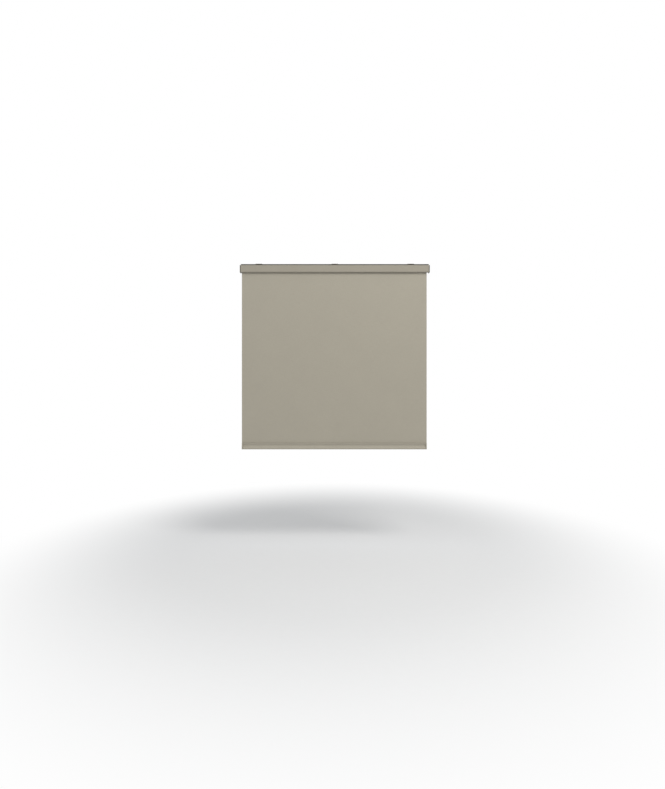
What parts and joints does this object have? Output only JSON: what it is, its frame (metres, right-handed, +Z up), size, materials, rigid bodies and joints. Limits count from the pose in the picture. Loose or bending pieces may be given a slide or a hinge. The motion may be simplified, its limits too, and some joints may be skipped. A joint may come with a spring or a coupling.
{
  "type": "blackout roller blind",
  "caption": "Blackout roller blind: fabric-covered cassette on top clips, spring roller with a friction brake, hanging panel and weighted bottom bar with a finger cove.",
  "frame": {"origin": "middle of the flat top face of the middle mounting clip, between its two screw holes", "axes": "X along the width of the blind, -Y towards the room, +Z up into the lintel"},
  "size_m": [1.2, 0.062, 1.1735],
  "materials": {
    "face_fabric": "matte",
    "coated_aluminium": "satin",
    "dark_aluminium": "satin",
    "mill_aluminium": "satin",
    "zinc_steel": "satin",
    "dark_steel": "satin",
    "spring_steel": "satin",
    "dark_plastic": "satin",
    "taupe_plastic": "satin",
    "white_plastic": "satin"
  },
  "bodies": {
    "headbox": {"head_rail": "dark_aluminium", "front_fascia": "coated_aluminium", "fascia_fabric": "face_fabric", "mounting_clip_left": "dark_steel", "mounting_clip_middle": "dark_steel", "mounting_clip_right": "dark_steel", "end_cap_left": "dark_plastic", "end_cap_right": "dark_plastic", "cap_screw_left_front": "zinc_steel", "cap_screw_left_rear": "zinc_steel", "cap_screw_right_front": "zinc_steel", "cap_screw_right_rear": "zinc_steel", "idle_bracket": "zinc_steel", "spring_bracket": "zinc_steel", "idle_bush": "white_plastic", "spring_shaft": "zinc_steel", "brake_drum": "white_plastic", "spring_fixed_cone": "white_plastic", "torsion_spring": "spring_steel"},
    "roller": {"roller_tube": "mill_aluminium", "fabric_fixing_strip": "white_plastic", "fabric_roll": "face_fabric", "idle_plug": "dark_plastic", "idle_pin_spring": "spring_steel", "spring_plug": "dark_plastic", "spring_bush": "white_plastic", "brake_spring": "spring_steel", "spring_drive_cone": "dark_plastic"},
    "idle_pin": {"idle_pin": "zinc_steel"},
    "bottom_rail": {"bottom_bar": "coated_aluminium", "bar_fabric": "face_fabric", "bar_end_cap_left": "taupe_plastic", "bar_end_cap_right": "taupe_plastic", "bar_weight": "zinc_steel", "fabric_spline": "white_plastic", "fabric_panel": "face_fabric"}
  },
  "joints": [
    {"name": "roller_turn", "type": "hinge", "parent": "headbox", "child": "roller", "pos_m": [0, 0, -0.0328], "axis": [-1, 0, 0], "range_deg": [-1000, 3155]},
    {"name": "rail_lift", "type": "slide", "parent": "headbox", "child": "bottom_rail", "axis": [0, 0, 1], "range_m": [-0.34, 1.073], "deforming": ["fabric_panel"]},
    {"name": "idle_pin_slide", "type": "slide", "parent": "roller", "child": "idle_pin", "axis": [1, 0, 0], "range_m": [0, 0.005], "stiffness_N_per_m": 400, "springref_m": -0.012, "deforming": ["idle_pin_spring"]}
  ],
  "couplings": [
    {"joint": "roller_turn", "follows": "rail_lift", "rad_per_m": 51.282}
  ]
}
